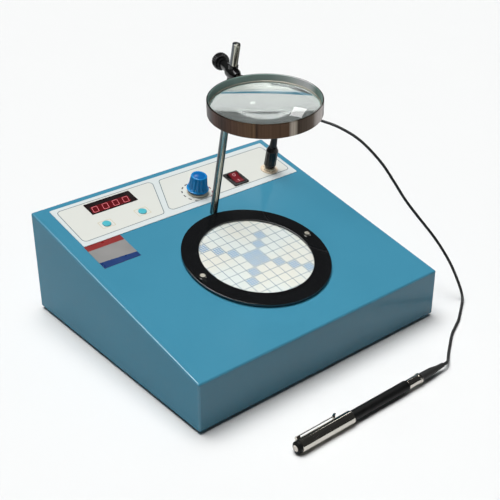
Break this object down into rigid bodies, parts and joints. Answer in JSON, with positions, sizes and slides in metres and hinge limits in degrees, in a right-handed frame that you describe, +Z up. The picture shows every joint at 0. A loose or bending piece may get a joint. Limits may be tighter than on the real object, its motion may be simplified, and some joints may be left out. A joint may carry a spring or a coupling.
{
  "type": "colony counter",
  "caption": "Bench colony counter: sloping cabinet with a lit grid stage, a magnifier on a rod, a counter read-out, a dimmer knob, a switch and a counting pen on a lead.",
  "frame": {"origin": "on the bench under the middle of the cabinet's footprint, level with the feet's undersides", "axes": "+X to the user's right along the cabinet's width, +Y from the front to the back, +Z up"},
  "size_m": [0.3605, 0.362, 0.2889],
  "materials": {
    "blue_paint": "fine satin paint",
    "fastener_steel": "plain bright",
    "black_rubber": "matt",
    "white_label": "satin print",
    "red_filter": "clear red",
    "dark_moulding": "matt",
    "black_moulding": "semi-gloss",
    "green_board": "solder mask",
    "pale_blue_plastic": "smooth",
    "grey_metal": "plain",
    "blue_plastic": "polished",
    "red_rocker": "translucent",
    "brass_fitting": "pale plated",
    "black_acrylic": "polished",
    "grid_white": "printed opal",
    "chrome_plate": "polished",
    "nylon": "plain",
    "clear_glass": "polished",
    "black_grip": "soft matt",
    "nib_brass": "plain"
  },
  "bodies": {
    "base": {"cabinet_shell": "blue_paint", "base_plate": "blue_paint", "base_screws": "fastener_steel", "rubber_feet": "black_rubber", "foot_screws": "fastener_steel", "foot_nuts": "fastener_steel", "panel_overlay": "white_label", "display_window": "red_filter", "display_module": "dark_moulding", "control_board": "green_board", "board_standoffs": "fastener_steel", "button_switches": "dark_moulding", "brightness_pot": "grey_metal", "pot_washer": "brass_fitting", "pot_nut": "fastener_steel", "switch_housing": "black_moulding", "jack_socket": "brass_fitting", "jack_washer": "brass_fitting", "jack_nut": "brass_fitting", "stage_ring": "black_acrylic", "screw_cups": "fastener_steel", "ring_screws": "fastener_steel", "grid_plate": "grid_white", "opal_diffuser": "grid_white", "lamp_bowl": "grey_metal", "bowl_nuts": "fastener_steel", "lamp_board": "grey_metal", "lamp_leds": "grid_white", "power_board": "green_board", "power_transformer": "dark_moulding", "power_pillars": "fastener_steel", "mains_grommet": "black_rubber", "stand_rod": "chrome_plate", "rod_washer": "fastener_steel", "rod_nut": "fastener_steel"},
    "clamp": {"clamp_liner": "nylon"},
    "magnifier": {"lens_arm": "black_moulding", "arm_stud": "chrome_plate", "lens_rim": "chrome_plate", "lens_glass": "clear_glass", "lens_retainer": "fastener_steel"},
    "clamp_screw": {"thumbscrew": "black_moulding"},
    "dimmer": {"dimmer_knob": "blue_plastic", "pot_shaft": "fastener_steel"},
    "rocker": {"switch_rocker": "red_rocker"},
    "button_one": {"left_button": "pale_blue_plastic"},
    "button_two": {"right_button": "pale_blue_plastic"},
    "probe": {"plug_pin": "chrome_plate", "plug_shell": "black_moulding", "plug_boot": "black_rubber", "probe_cord": "black_rubber", "pen_boot": "black_rubber", "pen_collar": "chrome_plate", "pen_barrel": "black_grip", "pen_front": "black_grip"},
    "cap": {"pen_cap": "chrome_plate", "cap_clip": "chrome_plate", "cap_ring": "black_grip", "cap_button": "nylon"},
    "nib": {"pen_nib": "nib_brass"}
  },
  "joints": [
    {"name": "lens_height", "type": "slide", "parent": "base", "child": "clamp", "axis": [0, -0.2062, 0.9785], "range_m": [-0.06, 0.02]},
    {"name": "lens_swivel", "type": "hinge", "parent": "clamp", "child": "magnifier", "pos_m": [0.0115, 0.01564, 0.25796], "axis": [0, -0.2062, 0.9785], "range_deg": [-75, 105]},
    {"name": "thumbscrew_turn", "type": "hinge", "parent": "magnifier", "child": "clamp_screw", "pos_m": [0.0115, 0.01564, 0.25796], "axis": [-0.2822, -0.9555, -0.0857], "range_deg": [-180, 180]},
    {"name": "dimmer_turn", "type": "hinge", "parent": "base", "child": "dimmer", "pos_m": [0.0192, 0.08848, 0.10264], "axis": [0, -0.2062, 0.9785], "range_deg": [-150, 150]},
    {"name": "rocker_tip", "type": "hinge", "parent": "base", "child": "rocker", "pos_m": [0.073, 0.08835, 0.10108], "axis": [1, 0, 0], "range_deg": [-18, 0]},
    {"name": "button_one_press", "type": "slide", "parent": "base", "child": "button_one", "axis": [0, 0.2062, -0.9785], "range_m": [0, 0.0006], "stiffness_N_per_m": 600},
    {"name": "button_two_press", "type": "slide", "parent": "base", "child": "button_two", "axis": [0, 0.2062, -0.9785], "range_m": [0, 0.0006], "stiffness_N_per_m": 600},
    {"name": "probe_unplug", "type": "slide", "parent": "base", "child": "probe", "axis": [0, -0.2062, 0.9785], "range_m": [0, 0.034]},
    {"name": "cap_pull", "type": "slide", "parent": "probe", "child": "cap", "axis": [-1, 0, 0], "range_m": [0, 0.052]},
    {"name": "nib_press", "type": "slide", "parent": "probe", "child": "nib", "axis": [1, 0, 0], "range_m": [0, 0.0015], "stiffness_N_per_m": 400}
  ]
}
